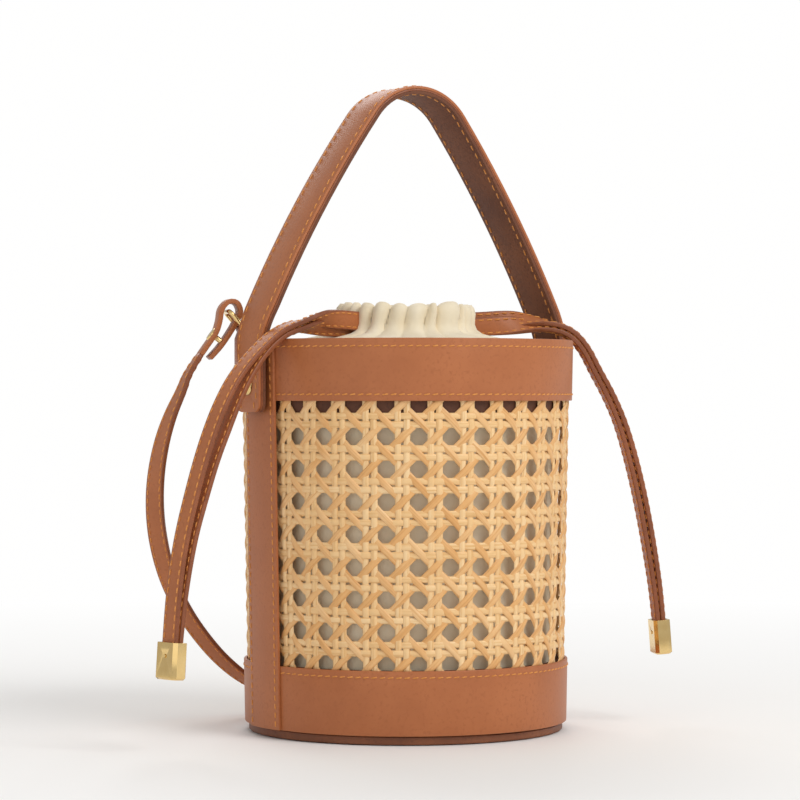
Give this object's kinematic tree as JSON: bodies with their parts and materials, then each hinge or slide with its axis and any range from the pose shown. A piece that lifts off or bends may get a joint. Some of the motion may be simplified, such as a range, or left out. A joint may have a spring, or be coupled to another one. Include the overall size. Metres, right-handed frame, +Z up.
{
  "type": "bucket bag",
  "caption": "cylindrical bucket bag of open cane webbing between leather bands, with a riveted top handle, a gathered cotton pouch, drawstrings with metal ends and a thin shoulder strap",
  "frame": {"origin": "middle of the underside of the sole, on the surface that the bag stands on", "axes": "+Z up, +X from the left handle rivet to the right one, -Y the front"},
  "size_m": [0.2991, 0.2931, 0.306],
  "materials": {
    "tan_leather": "smooth tan leather",
    "lining_leather": "brown split leather",
    "sole_leather": "firm tan leather",
    "cane": "natural rattan, satin",
    "cotton": "plain woven cotton, cream",
    "board": "matte board",
    "gold_metal": "polished light gold plating"
  },
  "bodies": {
    "bag": {"base_board": "board", "base_sole": "sole_leather", "cane_back": "cane", "cane_front": "cane", "drawstring_left_inner": "tan_leather", "drawstring_left_loop": "tan_leather", "drawstring_left_outer": "tan_leather", "drawstring_right_inner": "tan_leather", "drawstring_right_loop": "tan_leather", "drawstring_right_outer": "tan_leather", "end_cap_left": "gold_metal", "end_cap_pins_left": "gold_metal", "end_cap_pins_right": "gold_metal", "end_cap_right": "gold_metal", "lower_band": "tan_leather", "lower_lining": "lining_leather", "pouch_body": "cotton", "pouch_collar": "cotton", "ring_tab_left": "tan_leather", "ring_tab_right": "tan_leather", "ring_tab_rivet_left": "gold_metal", "ring_tab_rivet_right": "gold_metal", "rivet_washer_left": "gold_metal", "rivet_washer_right": "gold_metal", "shoulder_strap": "tan_leather", "side_strip_left": "tan_leather", "side_strip_right": "tan_leather", "strap_eye_left": "tan_leather", "strap_eye_right": "tan_leather", "strap_stud_left": "gold_metal", "strap_stud_right": "gold_metal", "upper_band": "tan_leather", "upper_lining": "lining_leather", "handle_rivet_left": "gold_metal", "handle_rivet_right": "gold_metal"},
    "handle": {"handle_outer": "tan_leather", "handle_filler": "lining_leather", "handle_lining": "lining_leather"},
    "ring_left": {"ring_left": "gold_metal"},
    "ring_right": {"ring_right": "gold_metal"}
  },
  "joints": [
    {"name": "handle_swing", "type": "hinge", "parent": "bag", "child": "handle", "pos_m": [0, 0, 0.1635], "axis": [1, 0, 0], "range_deg": [-7, 3]},
    {"name": "ring_left_tilt", "type": "hinge", "parent": "bag", "child": "ring_left", "pos_m": [-0.0757, 0.0246, 0.1905], "axis": [0.309, 0.9511, 0], "range_deg": [-5, 8]},
    {"name": "ring_right_tilt", "type": "hinge", "parent": "bag", "child": "ring_right", "pos_m": [0.07903, 0.02568, 0.1824], "axis": [0.309, -0.9511, 0], "range_deg": [-1, 1]}
  ]
}
